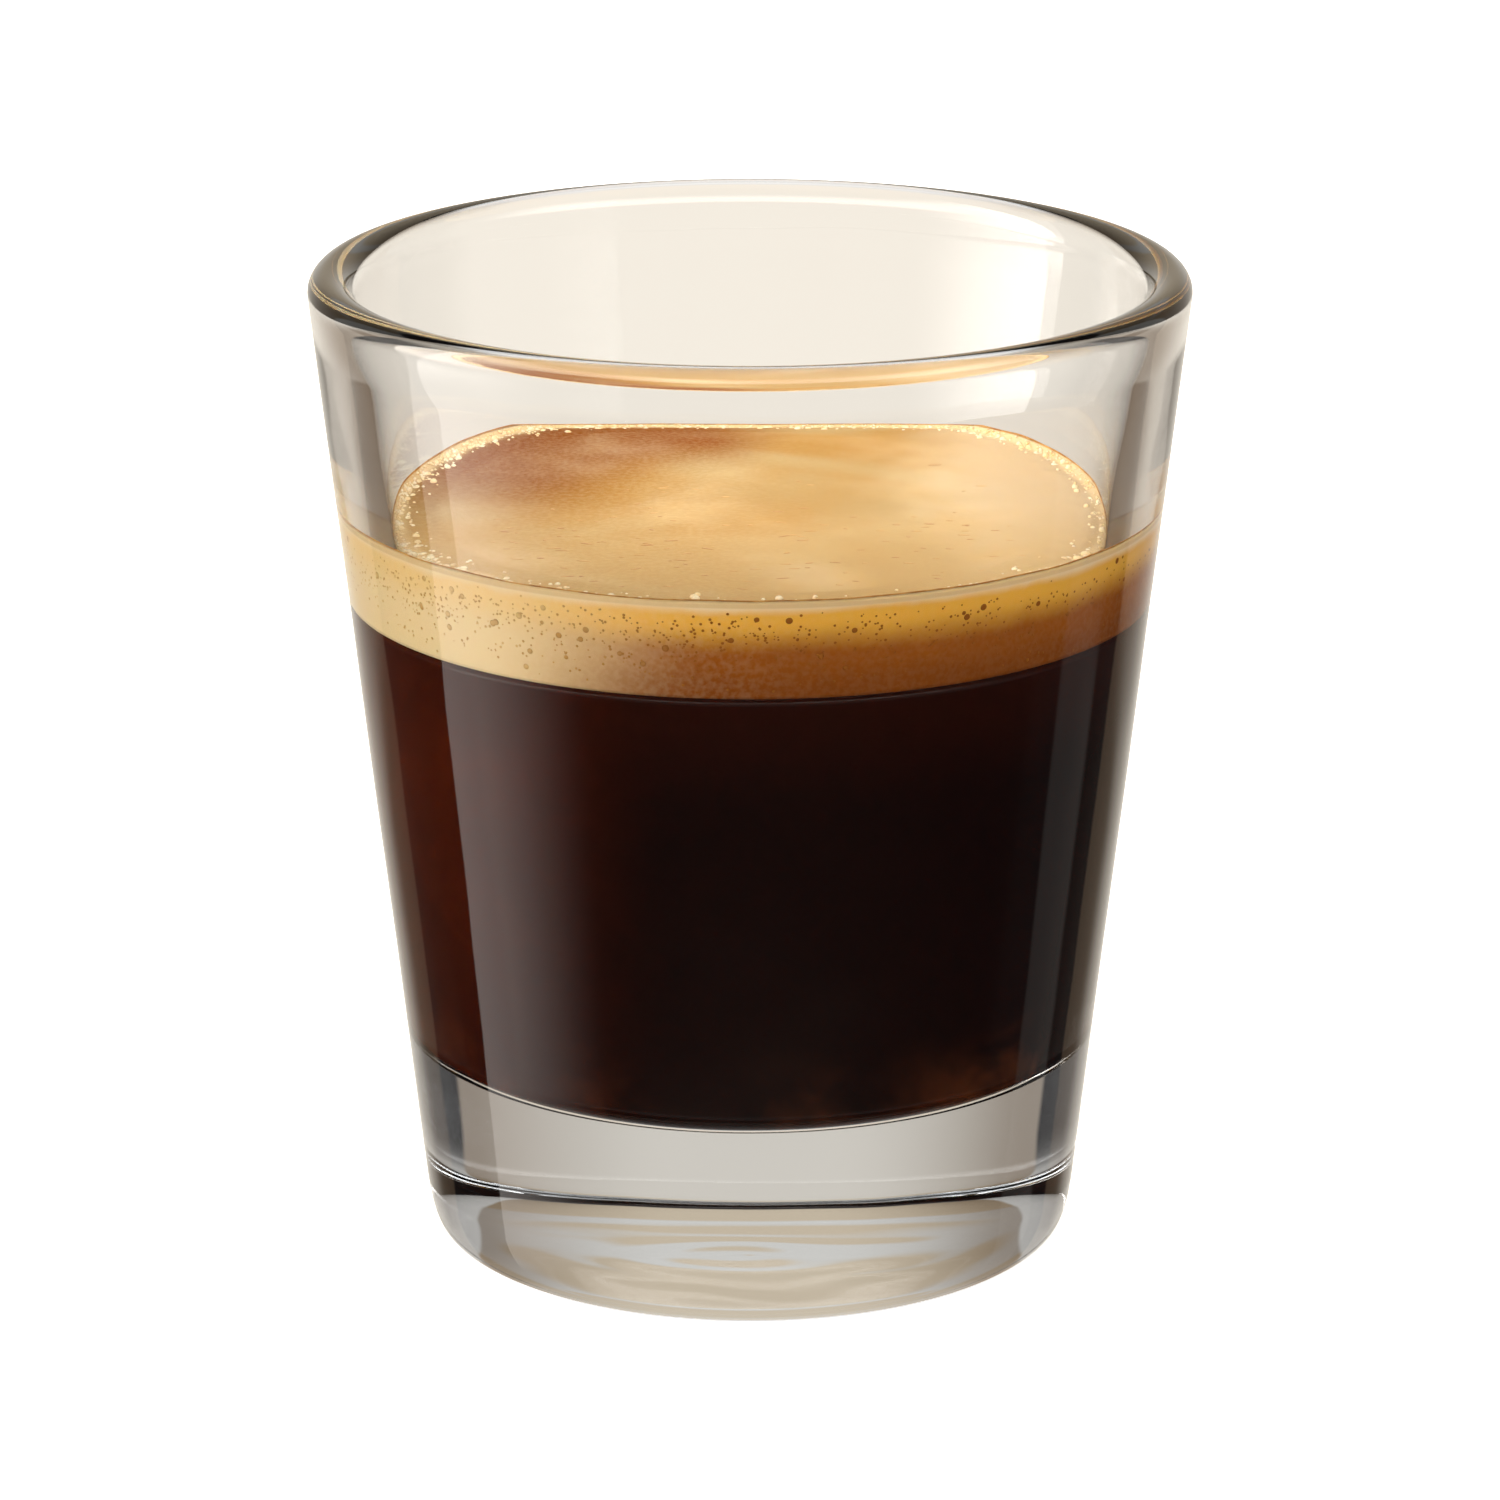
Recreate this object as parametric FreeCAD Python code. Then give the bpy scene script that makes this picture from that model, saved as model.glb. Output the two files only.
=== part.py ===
import FreeCAD, Part
import math
import os

# A double espresso in its small tapered glass, in millimetres.
# The origin is the centre of the circle that the glass stands on, and +Z is the axis of turning.
# Every piece is a solid of revolution: the glass, the black coffee and the crema that lies on it.

# The glass outside
rim_radius = 30.0            # the widest circle, at the lip
glass_height = 68.0          # from the table to the crest of the lip
foot_radius = 22.4           # where the straight outer side would meet the table
heel_width = 0.8             # how far the rounded heel cuts into the foot
heel_height = 3.4            # how far the rounded heel climbs the side
bearing_width = 7.0          # the flat ring that the glass stands on
punt_height = 0.4            # the hollow under the foot, at its middle

# The lip
lip_thickness = 3.2
lip_outer_round = 1.3        # the rest of the lip's thickness is its inner round
lip_depth = 5.0              # how far below the crest the inner side starts to turn upright

# The glass inside
floor_height = 13.2          # the top of the thick glass floor, above the table
floor_corner_radius = 1.8
wall_at_floor = 4.5          # the side wall, measured level, where it meets the floor
wall_under_lip = 3.0         # the side wall, measured level, where the lip starts

# The drink
drink_level = 51.5           # the flat surface of the crema, above the table
crema_thickness = 6.45
meniscus_height = 0.45       # how far the crema climbs the wall
meniscus_width = 1.3

# The fullness of a quarter-round Bezier curve, as for a circle
ROUND_FULLNESS = 0.5523

up = FreeCAD.Vector(0, 0, 1)
origin = FreeCAD.Vector(0, 0, 0)


def point(r, z):
    """A point of a half section, at radius r and height z."""
    return FreeCAD.Vector(r, 0, z)


def line(a, b):
    return Part.LineSegment(a, b).toShape()


def arc(a, middle, b):
    return Part.Arc(a, middle, b).toShape()


def bezier(*poles):
    curve = Part.BezierCurve()
    curve.setPoles(list(poles))
    return curve.toShape()


def rounded(a, corner, b):
    """A soft corner from a to b, tangent to both sides that meet at corner."""
    return bezier(a, a + (corner - a) * ROUND_FULLNESS, b + (corner - b) * ROUND_FULLNESS, b)


def revolve(edges):
    """Turn a closed half section, given as edges in order, about the axis into one solid."""
    face = Part.Face(Part.Wire(edges))
    solid = face.revolve(origin, up, 360)
    if solid.Volume < 0:
        solid.reverse()
    return solid


# The straight outer side is the line from the foot that is tangent to the lip's outer round.
lip_centre = point(rim_radius - lip_outer_round, glass_height - lip_outer_round)
foot_to_lip = math.hypot(lip_centre.x - foot_radius, lip_centre.z)
side_lean = math.atan2(lip_centre.x - foot_radius, lip_centre.z) + math.asin(lip_outer_round / foot_to_lip)


def outer_radius(z):
    """Radius of the straight outer side at height z."""
    return foot_radius + z * math.tan(side_lean)


def on_outer_round(angle):
    """Point of the lip's outer round, with the angle measured up from level."""
    return lip_centre + point(math.cos(angle), math.sin(angle)) * lip_outer_round


def outside_edges():
    """Underside, heel, side and outer half of the lip, from the axis to the crest."""
    bearing_outer = foot_radius - heel_width
    bearing_inner = bearing_outer - bearing_width
    punt_radius = (bearing_inner ** 2 + punt_height ** 2) / (2 * punt_height)
    half = bearing_inner / 2
    punt_middle = point(half, punt_height - punt_radius + math.sqrt(punt_radius ** 2 - half ** 2))
    punt = arc(point(0, punt_height), punt_middle, point(bearing_inner, 0))
    bearing = line(point(bearing_inner, 0), point(bearing_outer, 0))
    heel_top = point(outer_radius(heel_height), heel_height)
    heel = rounded(point(bearing_outer, 0), point(foot_radius, 0), heel_top)
    side_top = on_outer_round(-side_lean)
    side = line(heel_top, side_top)
    crest = on_outer_round(math.pi / 2)
    lip = arc(side_top, on_outer_round((math.pi / 2 - side_lean) / 2), crest)
    return [punt, bearing, heel, side, lip]


def inside_edges():
    """Inner half of the lip, inner side, corner and floor, from the crest to the axis."""
    inner_round = lip_thickness - lip_outer_round
    centre = point(lip_centre.x, glass_height - inner_round)
    diagonal = inner_round * math.sqrt(0.5)
    crest = centre + point(0, inner_round)
    round_end = centre - point(inner_round, 0)
    lip = arc(crest, centre + point(-diagonal, diagonal), round_end)

    # Under the lip the inner side is upright, and it bends smoothly into the straight wall.
    wall_end = glass_height - lip_depth
    wall_top = point(outer_radius(wall_end) - wall_under_lip, wall_end)
    wall_foot = point(outer_radius(floor_height) - wall_at_floor, floor_height)
    along_wall = (wall_top - wall_foot).normalize()
    reach = (round_end.z - wall_end) / 3
    bend = bezier(round_end, round_end - up * reach, wall_top + along_wall * reach, wall_top)

    # The corner's arc is tangent to the level floor and to the leaning wall.
    lean = math.atan2(along_wall.x, along_wall.z)
    setback = floor_corner_radius * math.tan((math.pi / 2 - lean) / 2)
    corner_centre = wall_foot + point(-setback, floor_corner_radius)
    corner_top = wall_foot + along_wall * setback
    corner_turn = (math.pi / 2 + lean) / 2
    corner_middle = corner_centre + point(math.sin(corner_turn), -math.cos(corner_turn)) * floor_corner_radius
    corner_end = wall_foot - point(setback, 0)
    wall = line(wall_top, corner_top)
    corner = arc(corner_top, corner_middle, corner_end)
    floor = line(corner_end, point(0, floor_height))
    return [lip, bend, wall, corner, floor]


def make_glass():
    axis = line(point(0, floor_height), point(0, punt_height))
    return revolve(outside_edges() + inside_edges() + [axis])


def make_cavity():
    """The whole space inside the glass, up to the level of the crest."""
    crest = point(lip_centre.x, glass_height)
    lid = line(point(0, glass_height), crest)
    axis = line(point(0, floor_height), point(0, glass_height))
    return revolve(inside_edges() + [axis, lid])


def make_coffee(cavity):
    """The black coffee: the cavity up to the underside of the crema."""
    depth = drink_level - crema_thickness
    below = Part.makeCylinder(2 * rim_radius, depth)
    return cavity.common(below)


def make_crema(cavity):
    """The crema: the cavity above the coffee, with a top that climbs a little at the wall."""
    bottom = drink_level - crema_thickness
    wall_radius = cavity.slice(up, drink_level)[0].BoundBox.XMax
    far = 2 * rim_radius
    flat_end = point(wall_radius - meniscus_width, drink_level)
    wall_end = point(wall_radius, drink_level + meniscus_height)
    climb = bezier(flat_end, point(wall_radius, drink_level), wall_end)
    outline = [
        line(point(0, bottom), point(0, drink_level)),
        line(point(0, drink_level), flat_end),
        climb,
        line(wall_end, point(far, wall_end.z)),
        line(point(far, wall_end.z), point(far, bottom)),
        line(point(far, bottom), point(0, bottom)),
    ]
    return cavity.common(revolve(outline))


def export(name, shape):
    """Write one closed solid to its STEP file."""
    solid = shape.Solids[0]
    if len(shape.Solids) != 1 or not solid.isValid():
        raise ValueError(name + " isn't one valid solid")
    solid.exportStep("parts/" + name + ".step")
    print(name, round(solid.Volume / 1000, 2), "ml")


os.makedirs("parts", exist_ok=True)
cavity = make_cavity()
export("glass", make_glass())
export("coffee", make_coffee(cavity))
export("crema", make_crema(cavity))
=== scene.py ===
import math
import random

import bpy
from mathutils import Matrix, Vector, noise


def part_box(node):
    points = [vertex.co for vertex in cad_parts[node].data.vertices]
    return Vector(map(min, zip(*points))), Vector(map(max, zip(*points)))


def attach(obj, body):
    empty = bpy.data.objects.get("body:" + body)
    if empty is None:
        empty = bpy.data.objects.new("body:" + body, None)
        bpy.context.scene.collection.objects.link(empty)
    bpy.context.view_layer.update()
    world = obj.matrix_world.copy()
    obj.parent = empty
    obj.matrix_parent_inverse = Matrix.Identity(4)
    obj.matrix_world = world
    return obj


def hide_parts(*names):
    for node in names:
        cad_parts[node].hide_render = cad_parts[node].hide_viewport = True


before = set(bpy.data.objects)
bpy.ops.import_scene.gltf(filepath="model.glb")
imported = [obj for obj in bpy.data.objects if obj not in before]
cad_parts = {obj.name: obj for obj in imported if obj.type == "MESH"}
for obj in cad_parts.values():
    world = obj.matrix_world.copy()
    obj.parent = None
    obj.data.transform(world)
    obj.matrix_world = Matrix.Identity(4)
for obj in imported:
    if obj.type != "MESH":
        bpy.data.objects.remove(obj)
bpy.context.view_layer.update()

MM = 0.001

# ---------------------------------------------------------------- sizes, as in the CAD model

crema_low, crema_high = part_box("crema")

# The glass outside
RIM_RADIUS = 30.0 * MM
GLASS_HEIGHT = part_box("glass")[1].z
FOOT_RADIUS = 22.4 * MM
HEEL_WIDTH = 0.8 * MM
HEEL_HEIGHT = 3.4 * MM
BEARING_WIDTH = 7.0 * MM
BEARING_OUTER = FOOT_RADIUS - HEEL_WIDTH
PUNT_RADIUS = BEARING_OUTER - BEARING_WIDTH
PUNT_HEIGHT = 0.4 * MM

# The lip
LIP_OUTER_ROUND = 1.3 * MM
LIP_INNER_ROUND = 1.9 * MM
LIP_DEPTH = 5.0 * MM

# The glass inside
FLOOR_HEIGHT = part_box("coffee")[0].z
FLOOR_CORNER_RADIUS = 1.8 * MM
WALL_AT_FLOOR = 4.5 * MM
WALL_UNDER_LIP = 3.0 * MM

# The drink
CREMA_BOTTOM = crema_low.z
MENISCUS_HEIGHT = 0.45 * MM
MENISCUS_WIDTH = 1.3 * MM
DRINK_LEVEL = crema_high.z - MENISCUS_HEIGHT

# The fullness of a quarter-round Bezier curve, as for a circle. The heel is a little fuller.
ROUND_FULLNESS = 0.5523
HEEL_FULLNESS = 0.65

# ---------------------------------------------------------------- sizes of what is only here

# How far the drink and its pits reach into the wall, so that no air shows between them
WETTING = 0.03 * MM
PIT_REACH = 0.02 * MM

# The unevenness of the pressed glass: two lengths of wave in its side, and rings in its foot
WAVE_LENGTH = 13.0 * MM
WAVE_DEPTH = 0.032 * MM
SHORT_WAVES = 2.3            # how many short waves go into a long one
SHORT_SHARE = 0.4            # their depth, as a share of the long one's
RIPPLE_LENGTH = 4.6 * MM
RIPPLE_DEPTH = 0.009 * MM
RIPPLE_SWIRL = 6 * MM        # the length over which the rings bend
RIPPLE_BEND = 2.5            # how far they bend, in radians of their wave
RIPPLE_FADE = 4.0 * MM       # they die out over this much of the hollow's edge
UNDERSIDE = 1.0 * MM         # what lies lower has rings, and what lies higher has waves
WAVES_FULL = 6.0 * MM        # waves are at full depth from here to as far below the crest
WAVES_END = 2.0 * MM         # and end this far below the crest

# The foam's relief: low mounds, fine dimples and a raised border along the glass
MOUND_LENGTH = 9 * MM
MOUND_HEIGHT = 0.05 * MM
DIMPLE_LENGTH = 2.5 * MM
DIMPLE_HEIGHT = 0.012 * MM
MOUND_DROP = 0.02 * MM       # how far the mounds as a whole lie below the flat
MOUND_FADE = 2 * MM          # the mounds die out over this much of the flat's edge
BORDER_HEIGHT = 0.1 * MM
BORDER_LENGTH = 1.2 * MM     # the length over which its height changes
BORDER_START = 2.5 * MM      # it starts this far inside the flat's edge
BORDER_CREST = 0.2 * MM      # and is fully raised this far inside it
BORDER_END = 0.8 * MM        # it ends this far outside the flat's edge

# How many places are tried for each kind of small thing
BUBBLE_TRIES = 2300
FLECK_TRIES = 150
PIT_TRIES = 2300

# Bubbles crowd at the back left and pits at the front left, in degrees from +X
BUBBLE_CROWD = 140
PIT_CROWD = 245

# Radii of the bubbles and pits, and how far bubbles lie from the glass, all in mm
SMALL_BUBBLES = (0.06, 0.15)
LARGE_BUBBLES = (0.15, 0.3)
BUBBLE_DRIFT = 0.7           # the spread of that distance
BUBBLE_DRIFT_MOST = 2.2
SMALL_PITS = (0.045, 0.1)
LARGE_PITS = (0.13, 0.24)

# The line that the drink's edge leaves on the glass
TIDE_HALF = 0.045 * MM       # half its height
TIDE_FOOT = 0.06 * MM        # how far its lower and upper edges stand out of the wall
TIDE_HEAD = 0.02 * MM
TIDE_WOBBLE = 0.08 * MM      # how far it rises and falls
TIDE_WAVES = 6

AROUND = 288                 # steps in a full turn

# ---------------------------------------------------------------- half sections


def pt(r, z):
    """A point of a half section: x is the radius and y is the height."""
    return Vector((r, z))


def line_points(a, b, count):
    return [a.lerp(b, i / count) for i in range(count)]


def arc_points(centre, radius, start, end, count):
    step = (end - start) / count
    return [
        centre + pt(math.cos(start + i * step), math.sin(start + i * step)) * radius
        for i in range(count)
    ]


def bezier_points(a, b, c, d, count):
    points = []
    for i in range(count):
        t = i / count
        s = 1 - t
        points.append(a * s ** 3 + b * 3 * s * s * t + c * 3 * s * t * t + d * t ** 3)
    return points


def rounded_points(a, corner, b, fullness, count):
    """A soft corner from a to b, tangent to both sides that meet at corner."""
    return bezier_points(a, a.lerp(corner, fullness), b.lerp(corner, fullness), b, count)


# The straight outer side is the line from the foot that is tangent to the lip's outer round.
LIP_CENTRE = pt(RIM_RADIUS - LIP_OUTER_ROUND, GLASS_HEIGHT - LIP_OUTER_ROUND)
SIDE_LEAN = math.atan2(LIP_CENTRE.x - FOOT_RADIUS, LIP_CENTRE.y) + math.asin(
    LIP_OUTER_ROUND / (LIP_CENTRE - pt(FOOT_RADIUS, 0)).length
)


def outer_radius(z):
    """Radius of the straight outer side at height z."""
    return FOOT_RADIUS + z * math.tan(SIDE_LEAN)


WALL_FOOT = pt(outer_radius(FLOOR_HEIGHT) - WALL_AT_FLOOR, FLOOR_HEIGHT)
WALL_END = GLASS_HEIGHT - LIP_DEPTH
WALL_TOP = pt(outer_radius(WALL_END) - WALL_UNDER_LIP, WALL_END)
ALONG_WALL = (WALL_TOP - WALL_FOOT).normalized()
INNER_LEAN = math.atan2(ALONG_WALL.x, ALONG_WALL.y)


def inner_radius(z):
    """Radius of the straight inner wall at height z."""
    return WALL_FOOT.x + (z - FLOOR_HEIGHT) * math.tan(INNER_LEAN)


DRINK_RADIUS = inner_radius(DRINK_LEVEL)
FLAT_RADIUS = DRINK_RADIUS - MENISCUS_WIDTH


def smooth_step(value, low, high):
    t = min(max((value - low) / (high - low), 0.0), 1.0)
    return t * t * (3 - 2 * t)


def outside_points():
    """Underside, heel, side and outer half of the lip, from the axis to the crest."""
    quarter = math.pi / 2
    punt_round = (PUNT_RADIUS ** 2 + PUNT_HEIGHT ** 2) / (2 * PUNT_HEIGHT)
    punt_centre = pt(0, PUNT_HEIGHT - punt_round)
    punt_end = quarter - math.asin(PUNT_RADIUS / punt_round)
    bearing_end = pt(BEARING_OUTER, 0)
    heel_top = pt(outer_radius(HEEL_HEIGHT), HEEL_HEIGHT)
    side_top = LIP_CENTRE + pt(math.cos(SIDE_LEAN), -math.sin(SIDE_LEAN)) * LIP_OUTER_ROUND
    points = arc_points(punt_centre, punt_round, quarter, punt_end, 90)
    points += line_points(pt(PUNT_RADIUS, 0), bearing_end, 6)
    points += rounded_points(bearing_end, pt(FOOT_RADIUS, 0), heel_top, HEEL_FULLNESS, 20)
    points += line_points(heel_top, side_top, 60)
    points += arc_points(LIP_CENTRE, LIP_OUTER_ROUND, -SIDE_LEAN, quarter, 16)
    return points


def inside_points():
    """Inner half of the lip, inner side, corner and floor, from the crest to the axis."""
    centre = pt(LIP_CENTRE.x, GLASS_HEIGHT - LIP_INNER_ROUND)
    lip_end = centre - pt(LIP_INNER_ROUND, 0)
    # under the lip the inner side is upright, and it bends smoothly into the straight wall
    reach = (lip_end.y - WALL_TOP.y) / 3
    below_lip = lip_end - pt(0, reach)
    above_wall = WALL_TOP + ALONG_WALL * reach
    points = arc_points(centre, LIP_INNER_ROUND, math.pi / 2, math.pi, 16)
    points += bezier_points(lip_end, below_lip, above_wall, WALL_TOP, 12)
    return points + cavity_points(WALL_TOP, 0)


def cavity_points(wall_top, swell):
    """Inner side, corner and floor from wall_top to the axis, all moved out by swell."""
    setback = FLOOR_CORNER_RADIUS * math.tan((math.pi / 2 - INNER_LEAN) / 2)
    centre = WALL_FOOT + pt(-setback, FLOOR_CORNER_RADIUS)
    radius = FLOOR_CORNER_RADIUS + swell
    corner_top = centre + pt(math.cos(INNER_LEAN), -math.sin(INNER_LEAN)) * radius
    corner_end = centre - pt(0, radius)
    middle = pt(0, corner_end.y)
    points = line_points(wall_top + pt(swell, 0), corner_top, 50)
    points += arc_points(centre, radius, -INNER_LEAN, -math.pi / 2, 24)
    points += line_points(corner_end, middle, 12)
    points.append(middle)
    return points


# ---------------------------------------------------------------- meshes


def add_mesh(name, verts, faces, smooth=True):
    """A mesh object in the scene."""
    mesh = bpy.data.meshes.new(name)
    mesh.from_pydata(verts, [], faces)
    if smooth:
        mesh.shade_smooth()
    mesh.update()
    obj = bpy.data.objects.new(name, mesh)
    bpy.context.scene.collection.objects.link(obj)
    return obj


def lathe(name, outline, shift=None):
    """A closed solid turned from an outline that starts and ends on the axis.

    shift moves each point: it is given the angle, the radius and the height.
    """
    verts = [(0, 0, outline[0].y)]
    rings = outline[1:-1]
    for ring in rings:
        for i in range(AROUND):
            a = 2 * math.pi * i / AROUND
            r, z = ring
            if shift:
                r, z = shift(a, r, z)
            verts.append((r * math.cos(a), r * math.sin(a), z))
    verts.append((0, 0, outline[-1].y))
    last = len(verts) - 1
    faces = []
    for i in range(AROUND):
        j = (i + 1) % AROUND
        faces.append((0, 1 + j, 1 + i))
        for k in range(len(rings) - 1):
            base = 1 + k * AROUND
            faces.append((base + i, base + j, base + AROUND + j, base + AROUND + i))
        base = last - AROUND
        faces.append((base + i, base + j, last))
    return add_mesh(name, verts, faces)


def ripple(a, r, z):
    """The faint unevenness of pressed glass: waves in the sides, rings in the foot."""
    here = Vector((r * math.cos(a), r * math.sin(a), z))
    wave = noise.noise(here / WAVE_LENGTH)
    wave += SHORT_SHARE * noise.noise(here / WAVE_LENGTH * SHORT_WAVES)
    on_side = smooth_step(z, UNDERSIDE, WAVES_FULL)
    on_side *= 1 - smooth_step(z, GLASS_HEIGHT - WAVES_FULL, GLASS_HEIGHT - WAVES_END)
    lift = 0.0
    if z < UNDERSIDE and r < PUNT_RADIUS:
        inside = 1 - smooth_step(r, PUNT_RADIUS - RIPPLE_FADE, PUNT_RADIUS)
        swirl = RIPPLE_BEND * noise.noise(here / RIPPLE_SWIRL)
        lift = RIPPLE_DEPTH * inside * math.sin(2 * math.pi * r / RIPPLE_LENGTH + swirl)
    return r + WAVE_DEPTH * wave * on_side, z + lift


def make_glass():
    return lathe("glass_shell", outside_points() + inside_points(), ripple)


def make_coffee():
    top = CREMA_BOTTOM + WETTING
    side = cavity_points(pt(inner_radius(top), top), WETTING)
    outline = line_points(pt(0, top), side[0], 12) + side
    return lathe("coffee_body", list(reversed(outline)))


def crema_relief(a, r, z):
    """Low mounds in the foam, and a slightly raised, uneven border along the glass."""
    on_top = z > DRINK_LEVEL - 0.1 * MM
    if not on_top:
        return r, z
    here = Vector((r * math.cos(a), r * math.sin(a), 0))
    mound = noise.noise(here / MOUND_LENGTH) * MOUND_HEIGHT
    mound += noise.noise(here / DIMPLE_LENGTH) * DIMPLE_HEIGHT - MOUND_DROP
    mound *= 1 - smooth_step(r, FLAT_RADIUS - MOUND_FADE, FLAT_RADIUS)
    border = BORDER_HEIGHT * (1 + noise.noise(here / BORDER_LENGTH))
    border *= smooth_step(r, FLAT_RADIUS - BORDER_START, FLAT_RADIUS - BORDER_CREST)
    border *= 1 - smooth_step(r, FLAT_RADIUS, FLAT_RADIUS + BORDER_END)
    return r, z + mound + border


def make_crema():
    wall_bottom = pt(inner_radius(CREMA_BOTTOM) + WETTING, CREMA_BOTTOM)
    top_z = DRINK_LEVEL + MENISCUS_HEIGHT
    wall_top = pt(inner_radius(top_z) + WETTING, top_z)
    flat_end = pt(FLAT_RADIUS, DRINK_LEVEL)
    middle = pt(0, DRINK_LEVEL)
    outline = line_points(pt(0, CREMA_BOTTOM), wall_bottom, 6)
    outline += line_points(wall_bottom, wall_top, 24)
    outline += rounded_points(
        wall_top, pt(DRINK_RADIUS, DRINK_LEVEL), flat_end, ROUND_FULLNESS, 14
    )
    outline += line_points(flat_end, middle, 120)
    outline.append(middle)
    return lathe("crema_body", outline, crema_relief)


def on_surface(x, y):
    """The point of the crema's surface at x and y, with its relief."""
    r = math.hypot(x, y)
    if r < FLAT_RADIUS:
        height = crema_relief(math.atan2(y, x), r, DRINK_LEVEL)[1]
    else:
        height = DRINK_LEVEL + MENISCUS_HEIGHT * ((r - FLAT_RADIUS) / MENISCUS_WIDTH) ** 3
    return Vector((x, y, height))


class Patch:
    """Many small balls joined in one mesh, each squeezed along its own axes."""

    def __init__(self, name, around, rows):
        self.name = name
        self.around = around
        self.rows = rows
        self.verts = []
        self.faces = []

    def ball(self, centre, along, across, up):
        """Add a ball at centre with three half axes."""
        first = len(self.verts)
        self.verts.append(centre + up)
        for k in range(1, self.rows):
            t = math.pi * k / self.rows
            for i in range(self.around):
                a = 2 * math.pi * i / self.around
                offset = along * math.cos(a) + across * math.sin(a)
                self.verts.append(centre + offset * math.sin(t) + up * math.cos(t))
        self.verts.append(centre - up)
        last = len(self.verts) - 1
        for i in range(self.around):
            j = (i + 1) % self.around
            self.faces.append((first, first + 1 + i, first + 1 + j))
            for k in range(self.rows - 2):
                base = first + 1 + k * self.around
                below = base + self.around
                self.faces.append((base + i, below + i, below + j, base + j))
            base = last - self.around
            self.faces.append((last, base + j, base + i))

    def finish(self):
        return add_mesh(self.name, self.verts, self.faces)


def chance(a, crowd, least, sharpness=1):
    """The chance that a place at angle a is used: 1 towards crowd, and least opposite it."""
    toward = 0.5 + 0.5 * math.cos(a - math.radians(crowd))
    return least + (1 - least) * toward ** sharpness


def pick_size(rng, share, sizes, other_sizes):
    """A size within sizes for a share of the picks, and within other_sizes for the rest."""
    low, high = sizes if rng.random() < share else other_sizes
    return rng.uniform(low, high) * MM


def make_bubbles(rng):
    """Foam bubbles on the surface: crowded along the glass, most of all at the back left."""
    bubbles = Patch("crema_bubbles", 9, 5)
    for _ in range(BUBBLE_TRIES):
        a = rng.uniform(0, 2 * math.pi)
        if rng.random() > chance(a, BUBBLE_CROWD, 0.3):
            continue
        drift = min(abs(rng.gauss(0, BUBBLE_DRIFT)), BUBBLE_DRIFT_MOST) * MM
        size = pick_size(rng, 0.85, SMALL_BUBBLES, LARGE_BUBBLES)
        r = DRINK_RADIUS - size - drift
        centre = on_surface(r * math.cos(a), r * math.sin(a))
        bubbles.ball(
            centre, Vector((size, 0, 0)), Vector((0, size, 0)), Vector((0, 0, size * 0.8))
        )
    return bubbles.finish()


def make_flecks(rng):
    """Short brown streaks where oil has gathered on the foam, mostly near the front."""
    flecks = Patch("crema_flecks", 8, 4)
    thickness = Vector((0, 0, 0.02 * MM))
    for _ in range(FLECK_TRIES):
        x = rng.uniform(-0.75, 0.75) * FLAT_RADIUS
        y = rng.gauss(-0.45, 0.3) * FLAT_RADIUS
        if math.hypot(x, y) > 0.93 * FLAT_RADIUS:
            continue
        length = rng.uniform(0.25, 1.1) * MM
        width = rng.uniform(0.05, 0.11) * MM
        turn = rng.gauss(0, 0.25)
        along = Vector((math.cos(turn), math.sin(turn), 0))
        across = Vector((-along.y, along.x, 0))
        flecks.ball(on_surface(x, y), along * length / 2, across * width, thickness)
    return flecks.finish()


def make_pits(rng):
    """Bubbles that touch the glass, seen through it as small pits, most at the front left."""
    pits = Patch("crema_pits", 10, 4)
    lowest = CREMA_BOTTOM + 0.4 * MM
    highest = DRINK_LEVEL - 0.3 * MM
    usual = DRINK_LEVEL - 1.6 * MM
    lean = math.tan(INNER_LEAN)
    for _ in range(PIT_TRIES):
        a = rng.uniform(0, 2 * math.pi)
        if rng.random() > chance(a, PIT_CROWD, 0.25, 2):
            continue
        size = pick_size(rng, 0.05, LARGE_PITS, SMALL_PITS)
        z = rng.triangular(lowest, highest, usual)
        out = Vector((math.cos(a), math.sin(a), 0))
        side = Vector((-out.y, out.x, 0))
        up = Vector((out.x * lean, out.y * lean, 1)).normalized()
        centre = out * (inner_radius(z) + WETTING) + Vector((0, 0, z))
        pits.ball(centre, side * size, up * size, out * PIT_REACH)
    return pits.finish()


def make_tide_line():
    """The thin dark line that the drink's edge leaves on the glass."""
    level = DRINK_LEVEL + MENISCUS_HEIGHT
    r = inner_radius(level)
    in_wall = r + WETTING * 1.5
    outline = (
        pt(r - TIDE_FOOT, level - TIDE_HALF),
        pt(in_wall, level - TIDE_HALF),
        pt(in_wall, level + TIDE_HALF),
        pt(r - TIDE_HEAD, level + TIDE_HALF),
    )
    corners = len(outline)
    verts, faces = [], []
    for i in range(AROUND):
        a = 2 * math.pi * i / AROUND
        wobble = noise.noise(Vector((math.cos(a), math.sin(a), 0)) * TIDE_WAVES) * TIDE_WOBBLE
        for p in outline:
            verts.append((p.x * math.cos(a), p.x * math.sin(a), p.y + wobble))
        here = corners * i
        after = corners * ((i + 1) % AROUND)
        for k in range(corners):
            m = (k + 1) % corners
            faces.append((here + k, after + k, after + m, here + m))
    return add_mesh("tide_line", verts, faces, smooth=False)


# ---------------------------------------------------------------- materials

GLASS_IOR = 1.5
COFFEE_IOR = 1.33

# The crema's side has painted light: pale to the left of LIT_FROM, where the window lights it, and
# amber painted shade to the right of LIT_TO.
LIT_FROM = -17 * MM
LIT_TO = -2 * MM

# The direction from the axis to the middle of the crescent of painted shade on the top, at the
# back left
CRESCENT_MIDDLE = math.radians(135)

# How far each colour of light spreads inside foam
FOAM_SPREAD = (1.0, 0.6, 0.3)


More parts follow.
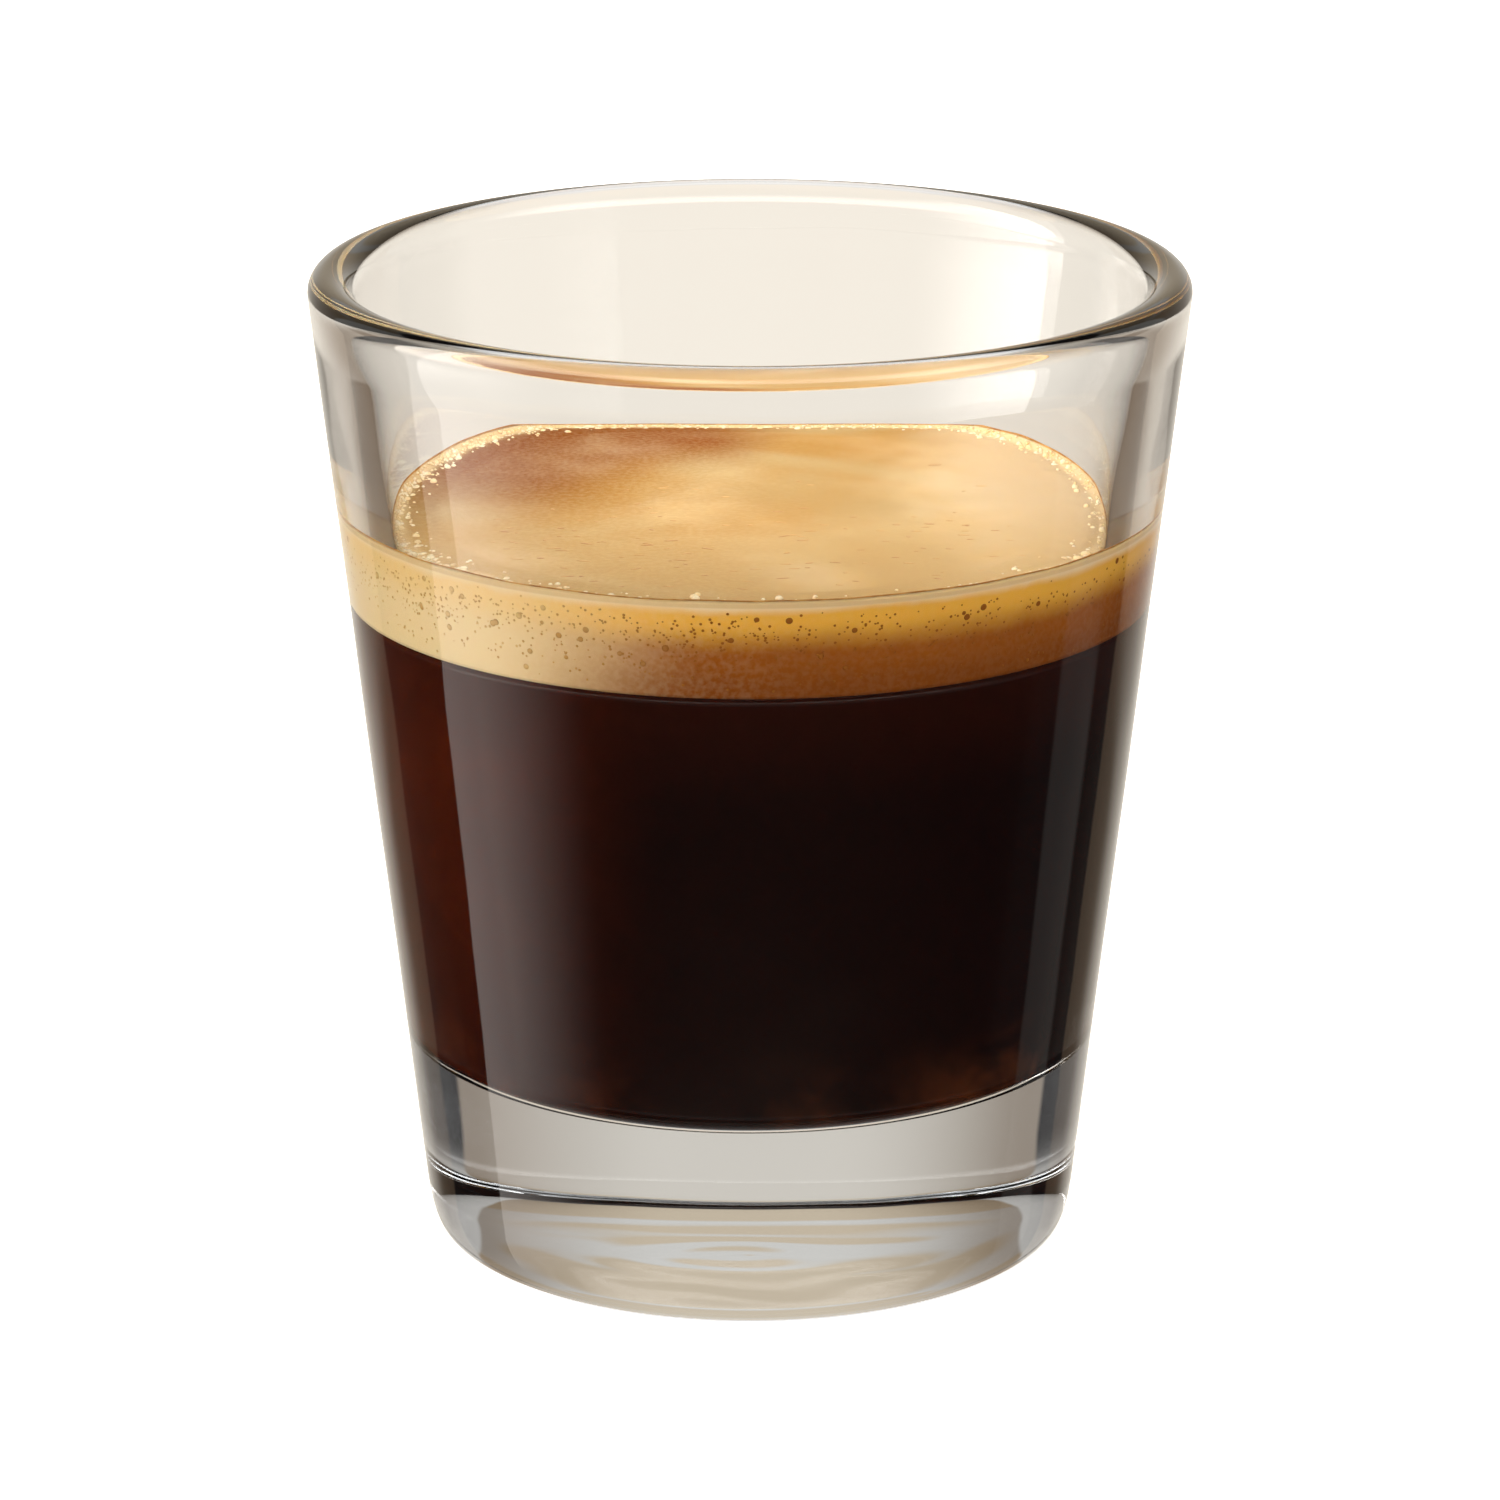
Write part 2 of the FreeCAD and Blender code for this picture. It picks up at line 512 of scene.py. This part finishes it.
class Nodes:
    """A short way to build a node tree."""

    def __init__(self, tree):
        self.tree = tree
        tree.nodes.clear()

    def add(self, kind, values=None, **settings):
        """A node with its settings, and its inputs set to values or linked to sockets."""
        node = self.tree.nodes.new(kind)
        for key, value in settings.items():
            setattr(node, key, value)
        for key, value in (values or {}).items():
            if isinstance(value, bpy.types.NodeSocket):
                self.tree.links.new(value, node.inputs[key])
            else:
                node.inputs[key].default_value = value
        return node

    def math(self, operation, a, b=0.0):
        return self.add("ShaderNodeMath", {0: a, 1: b}, operation=operation).outputs[0]

    def both(self, a, b):
        """The product of two factors."""
        return self.math("MULTIPLY", a, b)

    def ramp(self, value, low, high, start=0.0, end=1.0):
        """start up to low, end from high on, and a smooth change between."""
        node = self.add(
            "ShaderNodeMapRange",
            {"Value": value, "From Min": low, "From Max": high, "To Min": start, "To Max": end},
            interpolation_type="SMOOTHSTEP",
        )
        return node.outputs["Result"]

    def band(self, value, low, high, soft_low, soft_high):
        """1 between low and high, with edges that are soft over soft_low and soft_high."""
        rise = self.ramp(value, low - soft_low / 2, low + soft_low / 2)
        fall = self.ramp(value, high - soft_high / 2, high + soft_high / 2, 1.0, 0.0)
        return self.both(rise, fall)

    def mix(self, factor, a, b):
        """Colour a where factor is 0, and colour b where it is 1."""
        node = self.add("ShaderNodeMix", {0: factor, 6: a, 7: b}, data_type="RGBA")
        return node.outputs[2]

    def noise(self, place, scale, detail, distortion=0.0):
        node = self.add("ShaderNodeTexNoise", {
            "Vector": place, "Scale": scale, "Detail": detail, "Distortion": distortion,
        })
        return node.outputs[0]

    def shifted(self, value, cloud, by):
        """value moved up and down by noise, over a range of by in all."""
        return self.math("ADD", value, self.both(self.math("SUBTRACT", cloud, 0.5), by))

    def position(self):
        """The place on the piece, and its three coordinates."""
        place = self.add("ShaderNodeTexCoord").outputs["Object"]
        x, y, z = self.add("ShaderNodeSeparateXYZ", {0: place}).outputs
        return place, x, y, z

    def output(self, surface, **more):
        values = {"Surface": surface.outputs[0]}
        values.update(more)
        self.add("ShaderNodeOutputMaterial", values)


def material(name):
    mat = bpy.data.materials.new(name)
    mat.use_nodes = True
    return mat, Nodes(mat.node_tree)


def glass_material():
    mat, n = material("clear_glass")
    bsdf = n.add("ShaderNodeBsdfPrincipled", {
        "Base Color": (1, 1, 1, 1), "Roughness": 0.0,
        "IOR": GLASS_IOR, "Transmission Weight": 1.0,
    })
    tint = n.add("ShaderNodeVolumeAbsorption", {"Color": (0.16, 0.22, 0.3, 1), "Density": 10.0})
    n.output(bsdf, Volume=tint.outputs[0])
    return mat


def coffee_material():
    """Nearly black, with painted light: a red-brown glow at its left edge, amber low down.

    Coffee bends light less than glass does, so at a shallow angle its surface mirrors the
    glass round it.
    """
    black = (0.0075, 0.0008, 0.0004, 1)
    painted_glow_red_brown = (0.08, 0.0098, 0.0006, 1)
    under_crema = (0.03, 0.004, 0.001, 1)
    amber = (0.2, 0.05, 0.012, 1)

    mat, n = material("black_coffee")
    place, x, y, z = n.position()
    wisps = n.ramp(n.noise(place, 140.0, 3.0, 0.6), 0.35, 0.7)
    # painted light: a red-brown glow on the left, as if the window lit the coffee through the
    # glass
    left = n.both(n.ramp(x, -19 * MM, -5 * MM, 1.0, 0.0), n.ramp(wisps, 0.0, 1.0, 0.8, 1.0))
    left = n.both(left, n.ramp(z, FLOOR_HEIGHT, CREMA_BOTTOM, 0.5, 1.0))
    colour = n.mix(left, black, painted_glow_red_brown)
    high = n.ramp(z, CREMA_BOTTOM - 9 * MM, CREMA_BOTTOM, 0.0, 0.6)
    colour = n.mix(high, colour, under_crema)
    # painted light: an amber glow low down, strongest towards the right
    low = n.ramp(z, FLOOR_HEIGHT + 7 * MM, FLOOR_HEIGHT, 0.0, 0.7)
    right = n.ramp(x, 8 * MM, 19 * MM, 0.25, 1.0)
    colour = n.mix(n.both(n.both(low, wisps), right), colour, amber)

    bsdf = n.add("ShaderNodeBsdfPrincipled", {
        "Base Color": colour, "Roughness": 0.12, "IOR": 1.12, "Subsurface Weight": 0.3,
        "Subsurface Radius": (1.0, 0.3, 0.15), "Subsurface Scale": 1.5 * MM,
    })
    mirror = n.add("ShaderNodeBsdfGlossy", {"Color": (0.97, 0.93, 0.88, 1), "Roughness": 0.03})
    shallow = n.add("ShaderNodeFresnel", {"IOR": COFFEE_IOR / GLASS_IOR}).outputs[0]
    n.output(n.add("ShaderNodeMixShader", {0: shallow, 1: bsdf.outputs[0], 2: mirror.outputs[0]}))
    return mat


def crema_top(n, x, y, drift, warp):
    """The crema's top colour: golden, with painted light at right and front, a dark crescent of
    painted shade and a creamy border.
    """
    golden = (0.43, 0.222, 0.054, 1)
    pale = (0.47, 0.315, 0.135, 1)
    lit_pale_right = (0.68, 0.49, 0.29, 1)
    lit_pale_front = (0.66, 0.43, 0.185, 1)
    dark = (0.24, 0.065, 0.005, 1)
    cream = (0.9, 0.66, 0.36, 1)

    # the radius as a share of the whole
    radius = n.math("SQRT", n.math("ADD", n.both(x, x), n.both(y, y)))
    share = n.shifted(n.math("DIVIDE", radius, DRINK_RADIUS), warp, 0.09)
    # the angle from the crescent's middle, growing towards the left
    c, s = math.cos(CRESCENT_MIDDLE), math.sin(CRESCENT_MIDDLE)
    along = n.math("ADD", n.both(x, c), n.both(y, s))
    across = n.math("SUBTRACT", n.both(y, c), n.both(x, s))
    turn = n.math("DEGREES", n.math("ARCTAN2", across, along))

    top = n.mix(n.ramp(drift, 0.38, 0.62), golden, pale)
    # painted light: paler towards the right and the front, as the light falls there
    top = n.mix(n.ramp(x, 9 * MM, 18 * MM, 0.0, 0.9), top, lit_pale_right)
    top = n.mix(n.ramp(y, 2 * MM, -15 * MM, 0.0, 0.7), top, lit_pale_front)
    # painted shade: a dark crescent at the back left, next to the creamy border
    sweep = n.both(n.ramp(turn, -58.0, -32.0), n.ramp(turn, 18.0, 68.0, 1.0, 0.0))
    crescent = n.both(n.ramp(share, 0.3, 0.66), n.ramp(share, 0.93, 0.99, 1.0, 0.0))
    top = n.mix(n.both(crescent, sweep), top, dark)
    return n.mix(n.both(n.ramp(share, 0.95, 0.99), 0.7), top, cream)


def crema_side(n, x, z, warp):
    """The colour of the crema's side, with painted light and shade: bright above, pale on the left
    and amber on the right.
    """
    lit_upper_edge = (0.96, 0.75, 0.46, 1)
    upper_lit, upper_shaded = (0.96, 0.66, 0.28, 1), (0.95, 0.5, 0.07, 1)
    lower_lit, lower_shaded = (0.96, 0.72, 0.38, 1), (0.35, 0.097, 0.009, 1)
    lowest = (0.18, 0.042, 0.004, 1)

    depth = n.shifted(n.math("SUBTRACT", DRINK_LEVEL + MENISCUS_HEIGHT, z), warp, 1.2 * MM)
    # painted light and shade: pale where the window falls on the left, amber shade to the right
    lit = n.ramp(x, LIT_FROM, LIT_TO, 1.0, 0.0)
    upper = n.mix(lit, upper_shaded, upper_lit)
    # painted light: a bright band just under the top edge, where light from the top shines through
    upper = n.mix(n.ramp(depth, 0.35 * MM, 1.1 * MM), lit_upper_edge, upper)
    lower = n.mix(lit, lower_shaded, lower_lit)
    # painted shade: darker low down on the shaded side, next to the coffee
    near_coffee = n.both(n.ramp(depth, 3.6 * MM, 6.6 * MM, 0.0, 0.6), n.math("SUBTRACT", 1.0, lit))
    lower = n.mix(near_coffee, lower, lowest)
    return n.mix(n.ramp(depth, 1.3 * MM, 3.9 * MM), upper, lower)


def crema_material():
    """Golden foam with a fine grain."""
    mat, n = material("crema_foam")
    place, x, y, z = n.position()
    warp = n.noise(place, 120.0, 4.0, 0.8)
    drift = n.noise(place, 45.0, 2.0, 1.5)
    fine = n.noise(place, 2600.0, 2.0)
    on_side = n.ramp(n.math("SUBTRACT", DRINK_LEVEL, z), 0.0, 0.15 * MM)
    # both the top's and the side's tones carry painted light and shade
    colour = n.mix(on_side, crema_top(n, x, y, drift, warp), crema_side(n, x, z, warp))
    grain = n.both(n.ramp(fine, 0.3, 0.75, 0.0, 0.1), n.ramp(x, -6 * MM, 6 * MM, 1.0, 0.3))
    colour = n.mix(grain, colour, (0.97, 0.8, 0.5, 1))

    bump = n.add("ShaderNodeBump", {"Height": fine, "Strength": 0.25, "Distance": 0.05 * MM})
    n.output(n.add("ShaderNodeBsdfPrincipled", {
        "Base Color": colour, "Roughness": 0.55, "IOR": 1.08, "Normal": bump.outputs[0],
        "Subsurface Weight": 0.25, "Subsurface Radius": FOAM_SPREAD,
        "Subsurface Scale": 0.8 * MM,
    }))
    return mat


def small_material(name, colour, other, roughness, ior, shaded=None):
    """A finish for specks and bubbles, whose tone drifts from one to the next.

    With shaded, it turns to that colour, as painted shade, where the foam's side is painted in
    shade.
    """
    mat, n = material(name)
    place, x = n.position()[:2]
    colour = n.mix(n.ramp(n.noise(place, 900.0, 1.0), 0.35, 0.65), colour, other)
    if shaded:
        # painted shade: the pits on the right take the shaded colour, as the crema's side does
        colour = n.mix(n.ramp(x, LIT_FROM, LIT_TO), colour, shaded)
    n.output(n.add("ShaderNodeBsdfPrincipled", {
        "Base Color": colour, "Roughness": roughness, "IOR": ior,
        "Subsurface Weight": 0.2, "Subsurface Radius": FOAM_SPREAD,
        "Subsurface Scale": 0.3 * MM,
    }))
    return mat


# ---------------------------------------------------------------- studio

# Tones of the room
ROOM_LOW = (0.035, 0.032, 0.032, 1)
ROOM_HIGH = (0.7, 0.67, 0.62, 1)
ROOM_AHEAD = (0.85, 0.82, 0.77, 1)
CEILING = (1.2, 1.14, 1.05, 1)
FRONT_LIGHT = (5.6, 5.35, 4.97, 1)
WINDOW_LOW = (1.5, 1.42, 1.35, 1)
WINDOW_HIGH = (7.5, 7.2, 6.8, 1)
DIM_PANEL = (0.2, 0.19, 0.18, 1)
FAR_TABLE = (0.4, 0.36, 0.3, 1)
NEAR_TABLE = (0.95, 0.94, 0.92, 1)

# Tones of the backdrop
BACKDROP_LOW = (0.95, 0.88, 0.77, 1)
BACKDROP_BEIGE = (0.86, 0.72, 0.53, 1)
BACKDROP_WHITE = (0.93, 0.9, 0.83, 1)
BACKDROP_DIM = (0.16, 0.13, 0.11, 1)
BACKDROP_SIDES = (0.16, 0.085, 0.03, 1)
DARK_SLIT = (0.06, 0.05, 0.045, 1)

FLOOR_HALF = 2.5             # half the side of the floor
FLOOR_DROP = 0.1 * MM        # the floor lies this far under the foot, so that they don't touch

CAMERA_PLACE = (0, -426.42 * MM, 164.27 * MM)
CAMERA_LOOKS_DOWN = 17.019   # degrees
CAMERA_LENS = 154.28         # in mm, for a sensor of this width
CAMERA_SENSOR = 36.0


class Sky(Nodes):
    """The studio round the glass, laid out by azimuth and height in degrees.

    Azimuth 0 is in front of the glass and grows towards the left. off_back is the angle
    from straight behind the glass, to either side.
    """

    def __init__(self, tree):
        super().__init__(tree)
        way = self.add("ShaderNodeTexCoord").outputs["Generated"]
        x, y, z = self.add("ShaderNodeSeparateXYZ", {0: way}).outputs
        turn = self.math("ARCTAN2", self.both(x, -1.0), self.both(y, -1.0))
        self.azimuth = self.math("DEGREES", turn)
        self.height = self.math("DEGREES", self.math("ARCSINE", z))
        self.off_back = self.math("SUBTRACT", 180.0, self.math("ABSOLUTE", self.azimuth))


def paint_room(n, az, up, off_back):
    """The room: dark low down, brighter above, with its lights."""
    colour = n.mix(n.ramp(up, -12.0, 8.0), ROOM_LOW, ROOM_HIGH)
    # light from a low height on in front
    ahead = n.both(n.ramp(off_back, 76.0, 90.0), n.ramp(up, -23.5, -19.0))
    colour = n.mix(n.both(ahead, n.ramp(up, 0.0, 12.0, 1.0, 0.0)), colour, ROOM_AHEAD)
    # the ceiling, weaker behind the glass
    overhead = n.both(n.ramp(up, 38.0, 62.0), n.ramp(off_back, 60.0, 140.0, 1.0, 0.45))
    colour = n.mix(overhead, colour, CEILING)
    # a broad soft light in front, well above the table
    across = n.both(n.ramp(az, -100.0, -60.0), n.ramp(az, 60.0, 90.0, 1.0, 0.0))
    upright = n.both(n.ramp(up, 23.0, 31.0), n.ramp(up, 40.0, 60.0, 1.0, 0.0))
    colour = n.mix(n.both(across, upright), colour, FRONT_LIGHT)
    # the window on the left, with a hard edge at its far side, brightest above the table
    window = n.both(n.ramp(az, 48.0, 98.0), n.ramp(az, 101.5, 102.5, 1.0, 0.0))
    colour = n.mix(n.both(window, n.band(up, -50.0, 0.0, 30.0, 20.0)), colour, WINDOW_LOW)
    colour = n.mix(n.both(window, n.band(up, -5.0, 55.0, 20.0, 20.0)), colour, WINDOW_HIGH)
    # a dim panel low on the right
    panel = n.both(n.band(az, -122.0, -104.0, 3.0, 2.0), n.band(up, -60.0, -22.0, 20.0, 2.0))
    return n.mix(panel, colour, DIM_PANEL)


def paint_backdrop(n, up, off_back):
    """The pale backdrop: white low down and again higher up, with a beige stretch between."""
    pale = n.mix(n.ramp(up, 3.0, 16.0), BACKDROP_LOW, BACKDROP_BEIGE)
    pale = n.mix(n.band(up, 19.0, 23.5, 2.0, 2.0), pale, BACKDROP_WHITE)
    dim = n.both(n.band(up, -28.0, -20.5, 2.0, 1.5), n.ramp(off_back, 26.0, 38.0, 0.0, 0.7))
    pale = n.mix(dim, pale, BACKDROP_DIM)
    # darker and browner towards its sides
    return n.mix(n.ramp(off_back, 8.0, 44.0, 0.0, 0.68), pale, BACKDROP_SIDES)


def world_light():
    """The studio for all that the glass and the drink show, and white paper behind them."""
    world = bpy.data.worlds.new("studio")
    bpy.context.scene.world = world
    world.use_nodes = True
    n = Sky(world.node_tree)
    up, off_back = n.height, n.off_back

    colour = paint_room(n, n.azimuth, up, off_back)
    # the table round the glass, seen steeply from above
    colour = n.mix(n.ramp(up, -40.0, -31.0, 1.0, 0.0), colour, FAR_TABLE)
    backdrop = n.both(n.ramp(off_back, 46.0, 48.0, 1.0, 0.0), n.ramp(up, 37.0, 39.0, 1.0, 0.0))
    backdrop = n.both(backdrop, n.ramp(up, -52.0, -46.0))
    colour = n.mix(backdrop, colour, paint_backdrop(n, up, off_back))
    slit = n.both(n.ramp(off_back, 50.0, 60.0, 1.0, 0.0), n.band(up, 38.0, 52.0, 2.0, 4.0))
    colour = n.mix(slit, colour, DARK_SLIT)
    # the white table close under the glass
    colour = n.mix(n.ramp(up, -52.0, -44.0, 1.0, 0.0), colour, NEAR_TABLE)

    studio = n.add("ShaderNodeBackground", {"Color": colour, "Strength": 1.0})
    paper = n.add("ShaderNodeBackground", {"Color": (1, 1, 1, 1), "Strength": 1.0})
    seen = n.add("ShaderNodeLightPath").outputs["Is Camera Ray"]
    whole = n.add("ShaderNodeMixShader", {0: seen, 1: studio.outputs[0], 2: paper.outputs[0]})
    n.add("ShaderNodeOutputWorld", {"Surface": whole.outputs[0]})


def make_floor():
    """A plain pale floor just under the glass, which leaves mirroring to the studio."""
    s = FLOOR_HALF
    verts = [(-s, -s, 0), (s, -s, 0), (s, s, 0), (-s, s, 0)]
    floor = add_mesh("floor", verts, [(0, 1, 2, 3)], smooth=False)
    floor.location.z = -FLOOR_DROP
    mat, n = material("paper")
    n.output(n.add("ShaderNodeBsdfPrincipled", {
        "Base Color": (0.9, 0.89, 0.88, 1), "Roughness": 0.9,
        "Emission Color": (1, 1, 1, 1), "Emission Strength": 0.6,
    }))
    floor.data.materials.append(mat)
    floor.visible_glossy = False
    floor.visible_transmission = False


def make_camera():
    """The camera in front of the glass, looking down on it."""
    data = bpy.data.cameras.new("camera")
    data.sensor_width = CAMERA_SENSOR
    data.lens = CAMERA_LENS
    data.clip_start = 0.01
    data.clip_end = 20.0
    camera = bpy.data.objects.new("camera", data)
    camera.location = CAMERA_PLACE
    camera.rotation_euler = (math.radians(90 - CAMERA_LOOKS_DOWN), 0, 0)
    bpy.context.scene.collection.objects.link(camera)
    bpy.context.scene.camera = camera


# ---------------------------------------------------------------- the scene

rng = random.Random(11)

# Each stands for the CAD solid of its node.
main_pieces = (
    (make_glass(), "glass", glass_material()),
    (make_coffee(), "coffee", coffee_material()),
    (make_crema(), "crema", crema_material()),
)
for piece, node, finish in main_pieces:
    piece.data.materials.append(finish)
    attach(piece, "root")
    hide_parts(node)

small_pieces = (
    (make_bubbles(rng), small_material(
        "foam_bubbles", colour=(0.93, 0.68, 0.36, 1), other=(0.98, 0.82, 0.56, 1),
        roughness=0.12, ior=1.4,
    )),
    (make_flecks(rng), small_material(
        "oil_flecks", colour=(0.5, 0.22, 0.06, 1), other=(0.7, 0.38, 0.12, 1),
        roughness=0.35, ior=1.4,
    )),
    (make_pits(rng), small_material(
        "foam_pits", colour=(0.7, 0.38, 0.12, 1), other=(0.85, 0.54, 0.21, 1),
        roughness=0.5, ior=1.08, shaded=(0.34, 0.11, 0.015, 1),
    )),
    (make_tide_line(), small_material(
        "tide_line", colour=(0.4, 0.18, 0.05, 1), other=(0.6, 0.32, 0.1, 1),
        roughness=0.5, ior=1.12,
    )),
)
for piece, finish in small_pieces:
    piece.data.materials.append(finish)
    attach(piece, "root")

world_light()
make_floor()
make_camera()
bpy.context.scene.view_settings.view_transform = "Standard"
